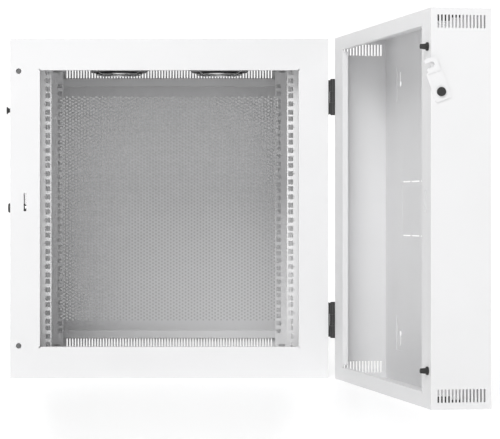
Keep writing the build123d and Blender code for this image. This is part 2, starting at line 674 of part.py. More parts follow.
def rail_support(x_side, z_side):
    # An angle along the depth that carries the rail ends and lets them slide
    z_out = MID_Z + z_side * RAIL_HALF
    z_in = z_out - z_side * SUPPORT_HEIGHT
    y0 = REAR + SUPPORT_END
    y1 = FRONT - SUPPORT_END
    leg_in = x_side * RAIL_OUTER_X
    leg_out = leg_in + x_side * RAIL
    angle = block(leg_in, leg_out, y0, y1, z_in, z_out)
    angle += block(leg_out, x_side * INNER_X, y0, y1, z_out - z_side * RAIL, z_out)
    z = z_out - z_side * BOLT_DROP
    for face, web_side in ((RAIL_REAR_SETBACK, 1), (RAIL_FRONT_Y, -1)):
        y = rail_bolt_y(face, web_side)
        angle -= block(leg_in, leg_out, y - SUPPORT_SLOT_HALF, y + SUPPORT_SLOT_HALF,
                       z - BOLT_HOLE_R, z + BOLT_HOLE_R)
    return angle


def rail_bolts():
    bolts = []
    for x_side in (-1, 1):
        for z_side in (-1, 1):
            for face, web_side in ((RAIL_REAR_SETBACK, 1), (RAIL_FRONT_Y, -1)):
                y = rail_bolt_y(face, web_side)
                z = MID_Z + z_side * (RAIL_HALF - BOLT_DROP)
                x_head = x_side * (RAIL_OUTER_X - RAIL)
                x_nut = x_side * (RAIL_OUTER_X + RAIL)
                head_face = Plane(origin=(x_head, y, z), z_dir=(-x_side, 0, 0))
                nut_face = Plane(origin=(x_nut, y, z), z_dir=(x_side, 0, 0))
                bolt = extrude(head_face * RegularPolygon(BOLT_HEAD_R, 6), amount=BOLT_HEAD)
                bolt += extrude(nut_face * RegularPolygon(BOLT_HEAD_R, 6), amount=BOLT_NUT)
                bolt += rod((x_head, y, z), (x_nut, y, z), BOLT_R)
                bolts.append(bolt)
    return bolts


def fan_frame(x):
    outline = Pos(x, 0) * (RectangleRounded(FAN_SIZE, FAN_SIZE, FAN_CORNER_R) - Circle(FAN_DUCT_R))
    for screw_x, screw_y in fan_screw_points(x):
        outline -= Pos(screw_x, screw_y) * Circle(FAN_SCREW_R + SCREW_PLAY)
    frame = sheet_xy(outline, FAN_FLOOR, FAN_DEPTH)
    # The motor cup hangs on four struts at the roof
    top = FAN_FLOOR + FAN_DEPTH
    struts = Circle(FAN_STATOR_R)
    for turn in (45, 135):
        struts += Rot(0, 0, turn) * Rectangle(2 * FAN_DUCT_R + FAN_STRUT, FAN_STRUT)
    struts = struts - Circle(FAN_SHAFT_R + PIN_PLAY)
    frame += sheet_xy(Pos(x, 0) * struts, top - FAN_STRUT, FAN_STRUT)
    cup = Circle(FAN_STATOR_R) - Circle(FAN_SHAFT_R + PIN_PLAY)
    frame += sheet_xy(Pos(x, 0) * cup, top - FAN_STATOR, FAN_STATOR)
    return frame


def fan_rotor(x):
    low = FAN_FLOOR + FAN_ROTOR_DROP
    high = FAN_FLOOR + FAN_DEPTH - FAN_STATOR - FAN_ROTOR_GAP
    hub = sheet_xy(Circle(FAN_ROTOR_R), low, high - low)
    hub = fillet(hub.faces().sort_by(Axis.Z)[0].edges(), FAN_ROTOR_DROP)
    reach = sheet_xy(Circle(FAN_BLADE_R), low + FAN_ROTOR_DROP, high - low - FAN_ROTOR_DROP)
    middle = (low + FAN_ROTOR_DROP + high) / 2
    blade_middle = (FAN_ROTOR_R + FAN_BLADE_R) / 2
    blade_length = FAN_BLADE_R - FAN_ROTOR_R + 2 * FAN_BLADE
    for index in range(FAN_BLADES):
        turn = Rot(0, 0, 360 / FAN_BLADES * index)
        plate = Rot(FAN_BLADE_TILT, 0, 0) * Box(blade_length, FAN_BLADE_CHORD, FAN_BLADE)
        hub += (turn * Pos(blade_middle, 0, middle) * plate) & reach
    shaft_top = FAN_FLOOR + FAN_DEPTH
    hub += sheet_xy(Circle(FAN_SHAFT_R), high, shaft_top - high)
    return Pos(x, 0, 0) * hub


def fan_guard(x):
    # A dish of rings: crossed wires carry the inner ones and slope up to an eye at each fan screw
    low = FAN_FLOOR - GUARD_DROP
    top = FAN_FLOOR - GUARD_WIRE
    dish_r = GUARD_RINGS[0]
    reach = FAN_HOLE * 2 ** 0.5
    guard = sheet_xy(Rot(0, 0, 45) * Rectangle(2 * dish_r, GUARD_WIRE), low, GUARD_WIRE)
    guard += sheet_xy(Rot(0, 0, 135) * Rectangle(2 * dish_r, GUARD_WIRE), low, GUARD_WIRE)
    for radius in GUARD_RINGS:
        guard += sheet_xy(Circle(radius) - Circle(radius - GUARD_WIRE), low, GUARD_WIRE)
    slope = (top - low) / (reach - GUARD_EYE_R - dish_r)
    outer_z = low + slope * (FAN_DUCT_R - dish_r)
    guard += sheet_xy(Circle(FAN_DUCT_R) - Circle(FAN_DUCT_R - GUARD_WIRE), outer_z, GUARD_WIRE)
    eye = Circle(GUARD_EYE_R) - Circle(FAN_SCREW_R + SCREW_PLAY)
    for screw_x, screw_y in fan_screw_points(0):
        start = (screw_x * (dish_r - GUARD_WIRE / 2) / reach, screw_y * (dish_r - GUARD_WIRE / 2) / reach)
        end = (screw_x * (reach - GUARD_EYE_R) / reach, screw_y * (reach - GUARD_EYE_R) / reach)
        guard += rod((*start, low + GUARD_WIRE / 2), (*end, top + GUARD_WIRE / 2), GUARD_WIRE / 2)
        guard += sheet_xy(Pos(screw_x, screw_y) * eye, top, GUARD_WIRE)
    return Pos(x, 0, 0) * guard


def fan_screws(x):
    screws = []
    nut_top = FAN_FLOOR - GUARD_WIRE
    for screw_x, screw_y in fan_screw_points(x):
        screw = rod((screw_x, screw_y, HEIGHT), (screw_x, screw_y, HEIGHT + SCREW_HEAD), SCREW_HEAD_R)
        screw += rod((screw_x, screw_y, nut_top - SCREW_HEAD), (screw_x, screw_y, HEIGHT), FAN_SCREW_R)
        nut = Pos(screw_x, screw_y) * RegularPolygon(SCREW_HEAD_R, 6)
        screw += sheet_xy(nut, nut_top - SCREW_HEAD, SCREW_HEAD)
        screws.append(screw)
    return screws


# Front door and its pivots

def door_pan():
    outline = rect(-DOOR_HALF_X, DOOR_HALF_X, MID_Z - DOOR_HALF_Z, MID_Z + DOOR_HALF_Z)
    field = rect(-FIELD_HALF_X, FIELD_HALF_X, MID_Z - FIELD_HALF_Z, MID_Z + FIELD_HALF_Z)
    inner_x = DOOR_HALF_X - SHEET
    inner_z = DOOR_HALF_Z - SHEET
    inside = rect(-inner_x, inner_x, MID_Z - inner_z, MID_Z + inner_z)
    lip_x = DOOR_HALF_X - DOOR_LIP
    lip_z = DOOR_HALF_Z - DOOR_LIP
    lips = rect(-lip_x, lip_x, MID_Z - lip_z, MID_Z + lip_z)
    lock_hole = Pos(DOOR_LOCK_X, MID_Z + LOCK_Z) * Circle(LOCK_BODY_R)
    pan = sheet_xz(outline - field - lock_hole, DOOR_FRONT - SHEET, SHEET)
    pan += sheet_xz(outline - inside, DOOR_BACK, DOOR_DEPTH - SHEET)
    pan += sheet_xz(outline - lips, DOOR_BACK, SHEET)
    pin_hole = rod((DOOR_PIVOT_X, DOOR_PIVOT_Y, MID_Z - DOOR_HALF_Z),
                   (DOOR_PIVOT_X, DOOR_PIVOT_Y, MID_Z + DOOR_HALF_Z), DOOR_PIN_R + PIN_PLAY)
    return pan - pin_hole


def door_bracket(z_side):
    z0 = MID_Z + z_side * (DOOR_HALF_Z + DOOR_CLEARANCE)
    z1 = z0 + z_side * BRACKET
    x1 = DOOR_HALF_X
    x0 = x1 - BRACKET_WIDTH
    tab = block(x0, x1, FRONT, FRONT + BRACKET_REACH, z0, z1)
    tab += block(x0, x1, FRONT, FRONT + BRACKET_FOOT_THICK, z0, z0 + z_side * BRACKET_FOOT)
    return tab - rod((DOOR_PIVOT_X, DOOR_PIVOT_Y, min(z0, z1)), (DOOR_PIVOT_X, DOOR_PIVOT_Y, max(z0, z1)),
                     DOOR_PIN_R + PIN_PLAY)


def door_pins():
    pins = []
    for z_side in (-1, 1):
        face = MID_Z + z_side * (DOOR_HALF_Z + DOOR_CLEARANCE + BRACKET)
        tip = MID_Z + z_side * (DOOR_HALF_Z - DOOR_PIN_REACH)
        pin = rod((DOOR_PIVOT_X, DOOR_PIVOT_Y, tip), (DOOR_PIVOT_X, DOOR_PIVOT_Y, face), DOOR_PIN_R)
        pin += rod((DOOR_PIVOT_X, DOOR_PIVOT_Y, face),
                   (DOOR_PIVOT_X, DOOR_PIVOT_Y, face + z_side * PIN_HEAD), PIN_HEAD_R)
        pins.append(pin)
    return pins


def main_section():
    y0 = REAR + SHEET
    y1 = FRONT - SHEET
    lock_hole = Pos(LOCK_Y, MID_Z + LOCK_Z) * Circle(LOCK_BODY_R)
    stud_hole = Pos(STUD_Y, MID_Z + LATCH_Z) * Circle(STUD_SHANK_R)
    lock_side = side_outline(y0, y1) - lock_hole - stud_hole
    hinge_side = side_outline(y0, y1) - leaf_screw_holes(1)
    floor = rect(-INNER_X, INNER_X, y0, y1) - cable_entry(0)
    lock_body, lock_nut, lock_plug = lock_parts((-HALF_X, LOCK_Y, MID_Z + LOCK_Z), (1, 0, 0))
    pieces = {
        "main_roof": roof_panel(),
        "main_floor": sheet_xy(floor, 0, SHEET),
        "side_panel_lock": sheet_yz(lock_side, -HALF_X, SHEET),
        "side_panel_hinge": sheet_yz(hinge_side, INNER_X, SHEET),
        "rear_frame": meeting_frame(REAR, 1, -OPEN_X, OPEN_X, OPEN_Z, RETURN_DEPTH),
        "front_frame": front_frame(),
        "roof_entry_plate": sheet_xy(cable_entry(ENTRY_PLATE_RIM), HEIGHT - 2 * SHEET, SHEET),
        "floor_entry_plate": sheet_xy(cable_entry(ENTRY_PLATE_RIM), SHEET, SHEET),
        "latch_stud": latch_stud(),
        "side_lock_body": lock_body,
        "side_lock_nut": lock_nut,
        "side_lock_plug": lock_plug,
        "rail_bolts": rail_bolts(),
        "door_bracket_upper": door_bracket(1),
        "door_bracket_lower": door_bracket(-1),
        "door_pins": door_pins(),
        "hinge_screws_main": leaf_screws(1),
    }
    for x_side, hand in ((-1, "left"), (1, "right")):
        pieces["rail_rear_" + hand] = rail(x_side, RAIL_REAR_SETBACK, 1)
        pieces["rail_front_" + hand] = rail(x_side, RAIL_FRONT_Y, -1)
        pieces["rail_support_lower_" + hand] = rail_support(x_side, -1)
        pieces["rail_support_upper_" + hand] = rail_support(x_side, 1)
        pieces["fan_frame_" + hand] = fan_frame(x_side * FAN_X)
        pieces["fan_rotor_" + hand] = fan_rotor(x_side * FAN_X)
        pieces["fan_guard_" + hand] = fan_guard(x_side * FAN_X)
        pieces["fan_screws_" + hand] = fan_screws(x_side * FAN_X)
    for z_side, level in ((-1, "lower"), (1, "upper")):
        z = MID_Z + z_side * HINGE_Z
        pieces["hinge_leaf_main_" + level] = hinge_leaf(1, z, knuckle_spans(z)[0])
        pieces["hinge_pin_" + level] = hinge_pin(z)
    return pieces


def door():
    # A dust screen lies between the perforated field and a perforated liner behind it
    field = rect(-FIELD_HALF_X, FIELD_HALF_X, MID_Z - FIELD_HALF_Z, MID_Z + FIELD_HALF_Z)
    liner_x = DOOR_HALF_X - LINER_SIDE
    liner_z = DOOR_HALF_Z - LINER_EDGE
    liner = rect(-liner_x, liner_x, MID_Z - liner_z, MID_Z + liner_z)
    liner -= Pos(DOOR_LOCK_X, MID_Z + LOCK_Z) * Circle(LOCK_NUT_R + SHEET)
    lock_body, lock_nut, lock_plug = lock_parts((DOOR_LOCK_X, DOOR_FRONT, MID_Z + LOCK_Z), (0, -1, 0))
    return {
        "door_pan": door_pan(),
        "door_perforated_panel": sheet_xz(field, DOOR_FRONT - PERFORATED, PERFORATED),
        "door_dust_screen": sheet_xz(field, DOOR_FRONT - SHEET, SHEET - PERFORATED),
        "door_liner": sheet_xz(liner, DOOR_FRONT - SHEET - PERFORATED, PERFORATED),
        "door_lock_body": lock_body,
        "door_lock_nut": lock_nut,
        "door_lock_plug": lock_plug,
    }


def save(name, shape):
    solids = shape if isinstance(shape, list) else [shape]
    body = Compound(children=[Compound(list(item.solids())) if len(item.solids()) > 1 else item.solids()[0]
                              for item in solids])
    body.label = name
    export_step(body, "parts/" + name + ".step")


for name, shape in wall_section().items():
    solids = shape if isinstance(shape, list) else [shape]
    save(name, [item.rotate(SWING_AXIS, SWING_OPEN) for item in solids])
for name, shape in {**main_section(), **door()}.items():
    save(name, shape)
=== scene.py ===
import json
import math

import bpy
import numpy as np
from mathutils import Matrix, Vector


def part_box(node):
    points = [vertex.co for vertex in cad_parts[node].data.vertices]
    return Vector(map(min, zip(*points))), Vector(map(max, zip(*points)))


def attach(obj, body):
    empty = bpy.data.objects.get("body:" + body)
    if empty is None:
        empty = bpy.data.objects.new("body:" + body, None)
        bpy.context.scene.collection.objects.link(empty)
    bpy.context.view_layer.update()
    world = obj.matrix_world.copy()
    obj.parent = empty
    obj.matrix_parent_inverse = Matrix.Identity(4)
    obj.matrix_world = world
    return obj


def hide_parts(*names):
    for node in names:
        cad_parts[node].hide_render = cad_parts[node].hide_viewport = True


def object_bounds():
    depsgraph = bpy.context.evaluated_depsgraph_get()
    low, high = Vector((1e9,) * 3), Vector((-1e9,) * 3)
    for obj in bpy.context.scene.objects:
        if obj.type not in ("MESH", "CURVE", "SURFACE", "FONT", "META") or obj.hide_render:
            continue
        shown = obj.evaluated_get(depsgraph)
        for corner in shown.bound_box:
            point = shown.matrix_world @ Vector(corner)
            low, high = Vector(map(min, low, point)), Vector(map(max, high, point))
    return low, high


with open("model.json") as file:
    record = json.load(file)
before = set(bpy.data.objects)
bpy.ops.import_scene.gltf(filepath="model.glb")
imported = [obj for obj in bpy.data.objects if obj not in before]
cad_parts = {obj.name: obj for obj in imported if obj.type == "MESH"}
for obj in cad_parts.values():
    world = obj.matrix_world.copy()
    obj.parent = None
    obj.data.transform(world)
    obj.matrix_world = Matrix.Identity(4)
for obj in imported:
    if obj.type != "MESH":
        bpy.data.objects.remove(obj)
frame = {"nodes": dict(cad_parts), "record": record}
cad_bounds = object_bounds()
MM = 0.001

# The camera, fitted to the near and far rack rails of the photograph (500 x 439 pixels)
IMAGE_WIDTH = 500.0
IMAGE_HEIGHT = 439.0
FOCAL_PIXELS = 2026.8
AXIS_PIXEL = (169.25, 207.7)
CAMERA_BACK = 3.822
CAMERA_RISE = 0.0015
CAMERA_REACH = 100
SENSOR = 36.0

# Studio, set by trial renders against the photograph
WORLD_NEAR = 0.3
WORLD_FAR = 1.08
WORLD_TURN = (0.2, 0.7)
LIGHT_AIM = (0.1, 0, 0.3)
KEY_AT = (-1.9, -6.0, 4.7)
KEY_SIZE = (4.0, 3.0)
KEY_WATTS = 270
FILL_AT = (-0.3, -6.5, 1.2)
FILL_SIZE = (3.0, 2.0)
FILL_WATTS = 45
TOP_AT = (0.2, -0.8, 3.4)
TOP_AIM = (0.2, -0.4, 0.3)
TOP_SIZE = (3.0, 3.0)
TOP_WATTS = 15
FLOOR_HALF = 30
FLOOR_DROP = 0.2 * MM
FLOOR_GLOW = 0.24
FLOOR_TONES = (0.94, 0.95)
FLOOR_PATCH = 0.8
FLOOR_ROUGH = 0.3
SWEEP_NEAR = 1.0
SWEEP_FAR = 2.6

# Perforated sheets of the door
PERFORATION_COLUMNS = 74
PERFORATION_ROWS = 66
PERFORATION_HOLE = 4.6 * MM

# Corners of a perforated sheet on the same step are one point; steps in a metre
CORNER_STEPS = 1e7

# Hole in the inner sheet's border, clear of the door lock's nut
LOCK_HOLE_R = 11.5 * MM

# Dust mesh between the perforated sheets; a bump is its strength and its depth
MESH_THREADS = 420.0
MESH_GLOW = 0.74
MESH_SPREAD = 0.08
MESH_SHEEN = 0.25
MESH_TONES = (0.05, 0.09)
MESH_ROUGH = 0.9
MESH_BUMP = (0.3, 0.3 * MM)

# Finishes
RAMP_AT = (0.3, 0.7)
PAINT_BUMP_DEPTH = 0.4 * MM
METAL_LINES = 900.0
METAL_PATCH = 25.0
METAL_DARKER = 0.9
METAL_BUMP = (0.15, 0.2 * MM)

# Fans: the guard's wires, the tapered inlet inside its dish, and the rotor
WIRE_R = 1.0 * MM
GUARD_RINGS = (46.0 * MM, 32.0 * MM, 18.0 * MM)
GUARD_RIM = 57.0 * MM
GUARD_EYE = 3.6 * MM
EYE_STEPS = 24
WIRE_STEP = 1.2 * MM
FAN_SCREW_OFFSET = 52.5 * MM
INLET_WIDE = 59.6 * MM
INLET_NARROW = 45.0 * MM
INLET_DROP = 9.3 * MM
INLET_WALL = 1.3 * MM
INLET_RIM = 62.5 * MM
INLET_SEAT = 1.1 * MM
INLET_SIDES = 64
HUB_R = 21.0 * MM
HUB_HEIGHT = 26.7 * MM
HUB_ROUND = ((3.5 * MM, 0), (1.0 * MM, 0.8 * MM), (0, 3.0 * MM))
HUB_SIDES = 48
SHAFT_R = 2.5 * MM
SHAFT_GAP = 0.1 * MM
BLADES = 7
BLADE_TIP = 56.3 * MM
BLADE_ROOT = 20.5 * MM
BLADE_CHORD = (27.0 * MM, 32.0 * MM)
BLADE_TILT = (52.0, 30.0)
BLADE_CAMBER = 2.0 * MM
BLADE_HALF = 0.8 * MM
BLADE_SKEW = 0.18

# Screws with a cross recess: heads and nuts by radius and height, and places on the hinge leaves
HEAD_RINGS = ((1, 0), (1, 0.3), (0.94, 0.62), (0.82, 0.84), (0.68, 0.95))
CROSS_RINGS = ((1, 1), (0.75, 0.35))
CROSS_ARM = 0.56
CROSS_HALF = 0.13
SHANK_SIDES = 16
FAN_HEAD = (4.0 * MM, 2.2 * MM)
FAN_SCREW_R = 2.0 * MM
FAN_NUT = (4.0 * MM, 2.2 * MM)
LEAF_HEAD = (5.0 * MM, 2.2 * MM)
LEAF_SCREW_R = 2.5 * MM
LEAF_SCREW_TAIL = 10.0 * MM
LEAF_NUT = (5.0 * MM, 4.0 * MM)
LEAF_OUT = 20.1 * MM
LEAF_SPREAD = 16.0 * MM
KNUCKLE_R = 6.2 * MM
SWING_OPEN = 100.0

# Rounding of the folded and cut edges
FOLD_RADIUS = 0.45 * MM
FOLD_ANGLE = 40
SHARP_ANGLE = 38


# Materials

def new_material(name):
    material = bpy.data.materials.new(name)
    material.use_nodes = True
    tree = material.node_tree
    tree.nodes.clear()
    output = tree.nodes.new("ShaderNodeOutputMaterial")
    shader = tree.nodes.new("ShaderNodeBsdfPrincipled")
    tree.links.new(shader.outputs["BSDF"], output.inputs["Surface"])
    return material, tree, shader, output


def noise(tree, scale, detail=2.0, rough=0.5, stretch=(1, 1, 1)):
    coords = tree.nodes.new("ShaderNodeTexCoord")
    mapping = tree.nodes.new("ShaderNodeMapping")
    mapping.inputs["Scale"].default_value = stretch
    texture = tree.nodes.new("ShaderNodeTexNoise")
    texture.inputs["Scale"].default_value = scale
    texture.inputs["Detail"].default_value = detail
    texture.inputs["Roughness"].default_value = rough
    tree.links.new(coords.outputs["Object"], mapping.inputs["Vector"])
    tree.links.new(mapping.outputs["Vector"], texture.inputs["Vector"])
    return texture.outputs["Fac"]


def ramp(tree, fac, low, high):
    node = tree.nodes.new("ShaderNodeValToRGB")
    node.color_ramp.elements[0].position = RAMP_AT[0]
    node.color_ramp.elements[1].position = RAMP_AT[1]
    node.color_ramp.elements[0].color = (*low, 1.0)
    node.color_ramp.elements[1].color = (*high, 1.0)
    tree.links.new(fac, node.inputs["Fac"])
    return node.outputs["Color"]


def rough_from(tree, fac, low, high):
    node = tree.nodes.new("ShaderNodeMapRange")
    node.inputs["To Min"].default_value = low
    node.inputs["To Max"].default_value = high
    tree.links.new(fac, node.inputs["Value"])
    return node.outputs["Result"]


def bump(tree, shader, height, strength, distance):
    node = tree.nodes.new("ShaderNodeBump")
    node.inputs["Strength"].default_value = strength
    node.inputs["Distance"].default_value = distance
    tree.links.new(height, node.inputs["Height"])
    tree.links.new(node.outputs["Normal"], shader.inputs["Normal"])


def grained(name, low, high, rough, grain, bump_strength, patch=9.0):
    """A finish with a broad change of tone, a fine grain in the gloss and a fine bump."""
    material, tree, shader, _ = new_material(name)
    broad = noise(tree, patch, detail=3.0)
    fine = noise(tree, grain, rough=0.6)
    tree.links.new(ramp(tree, broad, low, high), shader.inputs["Base Color"])
    tree.links.new(rough_from(tree, fine, rough[0], rough[1]), shader.inputs["Roughness"])
    bump(tree, shader, fine, bump_strength, PAINT_BUMP_DEPTH)
    return material


def grey(value, tint=0.0):
    return (value, value, value + tint)


def brushed_metal(name, value, rough, stretch):
    material, tree, shader, _ = new_material(name)
    lines = noise(tree, METAL_LINES, detail=3.0, rough=0.6, stretch=stretch)
    broad = noise(tree, METAL_PATCH)
    darker = grey(value * METAL_DARKER)
    tree.links.new(ramp(tree, broad, darker, grey(value)), shader.inputs["Base Color"])
    tree.links.new(rough_from(tree, lines, rough[0], rough[1]), shader.inputs["Roughness"])
    shader.inputs["Metallic"].default_value = 1.0
    bump(tree, shader, lines, *METAL_BUMP)
    return material


def woven_mesh(name):
    """A fine dust mesh whose threads, two crossed waves, glow with the light behind them."""
    material, tree, shader, output = new_material(name)
    coords = tree.nodes.new("ShaderNodeTexCoord")
    waves = []
    for direction in ("X", "Z"):
        wave = tree.nodes.new("ShaderNodeTexWave")
        wave.wave_type = "BANDS"
        wave.bands_direction = direction
        wave.inputs["Scale"].default_value = MESH_THREADS
        tree.links.new(coords.outputs["Object"], wave.inputs["Vector"])
        waves.append(wave.outputs["Fac"])
    crossed = tree.nodes.new("ShaderNodeMath")
    crossed.operation = "MAXIMUM"
    tree.links.new(waves[0], crossed.inputs[0])
    tree.links.new(waves[1], crossed.inputs[1])
    threads = crossed.outputs["Value"]
    glow = tree.nodes.new("ShaderNodeBsdfTranslucent")
    brighter = grey(MESH_GLOW + MESH_SPREAD)
    tree.links.new(ramp(tree, threads, brighter, grey(MESH_GLOW)), glow.inputs["Color"])
    mix = tree.nodes.new("ShaderNodeMixShader")
    mix.inputs["Fac"].default_value = MESH_SHEEN
    tree.links.new(glow.outputs["BSDF"], mix.inputs[1])
    tree.links.new(shader.outputs["BSDF"], mix.inputs[2])
    tree.links.new(mix.outputs["Shader"], output.inputs["Surface"])
    tree.links.new(ramp(tree, threads, *map(grey, MESH_TONES)), shader.inputs["Base Color"])
    shader.inputs["Roughness"].default_value = MESH_ROUGH
    bump(tree, shader, threads, *MESH_BUMP)
    return material


def white_sweep():
    """A pale floor that turns into a lit white sweep away from the object."""
    material, tree, shader, output = new_material("floor_white")
    broad = noise(tree, FLOOR_PATCH)
    tree.links.new(ramp(tree, broad, *map(grey, FLOOR_TONES)), shader.inputs["Base Color"])
    shader.inputs["Roughness"].default_value = FLOOR_ROUGH
    shader.inputs["Emission Color"].default_value = (1, 1, 1, 1)
    shader.inputs["Emission Strength"].default_value = FLOOR_GLOW
    coords = tree.nodes.new("ShaderNodeTexCoord")
    length = tree.nodes.new("ShaderNodeVectorMath")
    length.operation = "LENGTH"
    tree.links.new(coords.outputs["Object"], length.inputs[0])
    away = tree.nodes.new("ShaderNodeMapRange")
    away.interpolation_type = "SMOOTHSTEP"
    away.inputs["From Min"].default_value = SWEEP_NEAR
    away.inputs["From Max"].default_value = SWEEP_FAR
    tree.links.new(length.outputs["Value"], away.inputs["Value"])
    lit = tree.nodes.new("ShaderNodeEmission")
    lit.inputs["Strength"].default_value = WORLD_FAR
    mix = tree.nodes.new("ShaderNodeMixShader")
    tree.links.new(away.outputs["Result"], mix.inputs["Fac"])
    tree.links.new(shader.outputs["BSDF"], mix.inputs[1])
    tree.links.new(lit.outputs["Emission"], mix.inputs[2])
    tree.links.new(mix.outputs["Shader"], output.inputs["Surface"])
    return material


def make_materials():
    return {
        "sheet_paint": grained("powder_coat", grey(0.785, 0.005), grey(0.80, 0.007),
                               rough=(0.36, 0.5), grain=1500.0, bump_strength=0.25),
        # The rails' coat is the sheets' paint made lighter: painted light standing in for the bright
        # light on the rack rails' faces
        "rail_paint": grained("rail_coat_painted_light", grey(0.87, 0.003), grey(0.885, 0.005),
                              rough=(0.34, 0.46), grain=1500.0, bump_strength=0.2),
        "black_metal": grained("black_coat", grey(0.022), grey(0.032),
                               rough=(0.34, 0.5), grain=900.0, bump_strength=0.3, patch=40.0),
        "zinc_steel": brushed_metal("zinc_plate", 0.62, rough=(0.25, 0.42), stretch=(1, 1, 1)),
        "lock_steel": brushed_metal("nickel_plate", 0.6, rough=(0.16, 0.3), stretch=(1, 1, 6)),
        "peg_rubber": grained("peg_rubber", grey(0.02), grey(0.03),
                              rough=(0.6, 0.8), grain=1200.0, bump_strength=0.4, patch=60.0),
        "fan_plastic": grained("fan_plastic", grey(0.018), grey(0.026),
                               rough=(0.38, 0.55), grain=1000.0, bump_strength=0.3, patch=50.0),
        "guard_wire": brushed_metal("plated_wire", 0.68, rough=(0.12, 0.25), stretch=(4, 4, 1)),
        "dust_mesh": woven_mesh("dust_mesh"),
    }


def coat(piece, material):
    piece.data.materials.clear()
    piece.data.materials.append(material)


# Shapes

def mesh_piece(name, points, faces):
    mesh = bpy.data.meshes.new(name)
    mesh.from_pydata([tuple(p) for p in points], [], [tuple(f) for f in faces])
    mesh.update()
    piece = bpy.data.objects.new(name, mesh)
    bpy.context.scene.collection.objects.link(piece)
    return piece


def perforated_sheet(name, low, high):
    """A sheet with staggered round holes: each cell is a ring of quads round its hole."""
    width = (high.x - low.x) / PERFORATION_COLUMNS
    pitch = (high.z - low.z) / PERFORATION_ROWS
    rim = np.array([(0, 0), (0.5, 0), (1, 0), (1, 0.5), (1, 1), (0.5, 1), (0, 1), (0, 0.5)])
    rim = (rim - 0.5) * (width, pitch)
    angles = np.radians([225, 270, 315, 0, 45, 90, 135, 180])
    hole = np.stack([np.cos(angles), np.sin(angles)], 1) * PERFORATION_HOLE / 2
    index = {}
    points = []
    faces = []

    def corner(x, z, y):
        key = tuple(round(value * CORNER_STEPS) for value in (x, z, y))
        if key not in index:
            index[key] = len(points)
            points.append((x, y, z))
        return index[key]

    for column in range(PERFORATION_COLUMNS):
        middle_x = low.x + (column + 0.5) * width
        shift = column % 2
        for row in range(PERFORATION_ROWS - shift):
            middle_z = low.z + (row + 0.5 + shift / 2) * pitch
            outer = [(middle_x + u, middle_z + v) for u, v in rim]
            inner = [(middle_x + u, middle_z + v) for u, v in hole]
            front_o = [corner(x, z, high.y) for x, z in outer]
            front_i = [corner(x, z, high.y) for x, z in inner]
            back_o = [corner(x, z, low.y) for x, z in outer]
            back_i = [corner(x, z, low.y) for x, z in inner]
            for k in range(len(rim)):
                n = (k + 1) % len(rim)
                faces.append((front_o[n], front_o[k], front_i[k], front_i[n]))
                faces.append((back_o[k], back_o[n], back_i[n], back_i[k]))
                faces.append((front_i[n], front_i[k], back_i[k], back_i[n]))
        if shift:
            for z0, z1 in ((low.z, low.z + pitch / 2), (high.z - pitch / 2, high.z)):
                x0, x1 = middle_x - width / 2, middle_x + width / 2
                loop = [(x0, z0), (middle_x, z0), (x1, z0), (x1, z1), (middle_x, z1), (x0, z1)]
                faces.append([corner(x, z, high.y) for x, z in reversed(loop)])
                faces.append([corner(x, z, low.y) for x, z in loop])
    for step in range(2 * PERFORATION_COLUMNS):
        x0 = low.x + step * width / 2
        x1 = x0 + width / 2
        for z, flip in ((low.z, False), (high.z, True)):
            ends = ((x0, low.y), (x0, high.y), (x1, high.y), (x1, low.y))
            loop = [corner(x, z, y) for x, y in ends]
            faces.append(loop[::-1] if flip else loop)
    for step in range(2 * PERFORATION_ROWS):
        z0 = low.z + step * pitch / 2
        z1 = z0 + pitch / 2
        for x, flip in ((low.x, True), (high.x, False)):
            ends = ((z0, low.y), (z0, high.y), (z1, high.y), (z1, low.y))
            loop = [corner(x, z, y) for z, y in ends]
            faces.append(loop[::-1] if flip else loop)
    return mesh_piece(name, points, faces)


def add_liner(panel, material, low, high):
    """The inner sheet repeats the outer one's holes; its plain border lets the door lock through."""
    liner_low, liner_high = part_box("door_liner")
    inner = bpy.data.objects.new("door_liner_perforation", panel.data)
    bpy.context.scene.collection.objects.link(inner)
    inner.location.y = liner_low.y - low.y
    lock_low, lock_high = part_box("door_lock_body")
    lock_x, lock_z = (lock_low.x + lock_high.x) / 2, (lock_low.z + lock_high.z) / 2
    reach = low.x - lock_x
    rim = []
    for x0, x1, z0, z1 in ((liner_low.x, low.x, liner_low.z, lock_z - reach),
                           (liner_low.x, low.x, lock_z + reach, liner_high.z),
                           (liner_low.x, lock_x - reach, lock_z - reach, lock_z + reach),
                           (high.x, liner_high.x, liner_low.z, liner_high.z),
                           (low.x, high.x, liner_low.z, low.z),
                           (low.x, high.x, high.z, liner_high.z)):
        rim.append((x0, x1, liner_low.y, liner_high.y, z0, z1))
    parts = [boxes(rim), holed_block(lock_x, lock_z, reach, LOCK_HOLE_R, liner_low.y, liner_high.y)]
    merged("door_liner_border", parts, "front_door", "sheet_paint", material, "door_liner")
    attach(inner, "front_door")


def add_dust_mesh(material):
    """The dust mesh as one thin layer in the middle of its CAD sheet."""
    low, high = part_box("door_dust_screen")
    middle = (low.y + high.y) / 2
    ends = ((low.x, low.z), (high.x, low.z), (high.x, high.z), (low.x, high.z))
    points = [(x, middle, z) for x, z in ends]
    layer = mesh_piece("door_dust_mesh", points, [(0, 1, 2, 3)])
    coat(layer, material)
    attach(layer, "front_door")
    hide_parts("door_dust_screen")


def holed_block(x, z, reach, radius, y0, y1, sides=32):
    """A square block that reaches this far each way, with a round hole through it along Y."""
    points = []
    for y in (y0, y1):
        for step in range(sides):
            angle = 2 * math.pi * step / sides
            u, v = math.cos(angle), math.sin(angle)
            for along in (reach / max(abs(u), abs(v)), radius):
                points.append((x + along * u, y, z + along * v))
    faces = []
    top = 2 * sides
    for step in range(sides):
        a, b = 2 * step, 2 * ((step + 1) % sides)
        faces.append((a, b, b + 1, a + 1))
        faces.append((top + b, top + a, top + a + 1, top + b + 1))
        faces.append((a, top + a, top + b, b))
        faces.append((a + 1, b + 1, top + b + 1, top + a + 1))
    return points, faces


